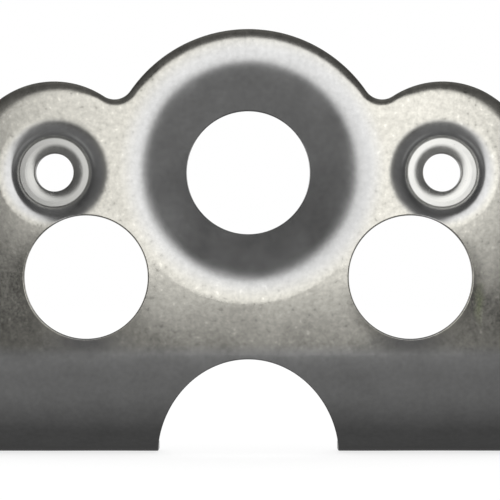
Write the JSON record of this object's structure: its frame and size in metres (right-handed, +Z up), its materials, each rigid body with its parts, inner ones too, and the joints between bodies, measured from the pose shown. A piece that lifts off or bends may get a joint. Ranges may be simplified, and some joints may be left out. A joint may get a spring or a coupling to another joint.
{
  "type": "mounting plate",
  "caption": "Stamped metal mounting plate with a lobed top edge, a dished centre hole, dimples with pressed-in screw bushings and a rolled-back, notched lower edge.",
  "frame": {"origin": "centre of the centre hole, midway between the two bushing axes, on the plane of the bushings' rear ends, which is the wall that the plate is screwed to", "axes": "+X to the right across the plate, +Y back into the wall along the bushing axes, +Z up from the rolled edge to the lobes; the front face looks towards -Y"},
  "size_m": [0.0926, 0.0225, 0.0693],
  "materials": {
    "tumbled_steel": "stainless sheet, tumbled: fine mottled satin on the flat face, smoother in the dish and on the rolled edge",
    "turned_steel": "turned stainless, fine concentric marks, countersunk mouth of the bore"
  },
  "bodies": {
    "root": {"pressed_plate": "tumbled_steel", "left_bushing": "turned_steel", "right_bushing": "turned_steel"}
  },
  "joints": []
}
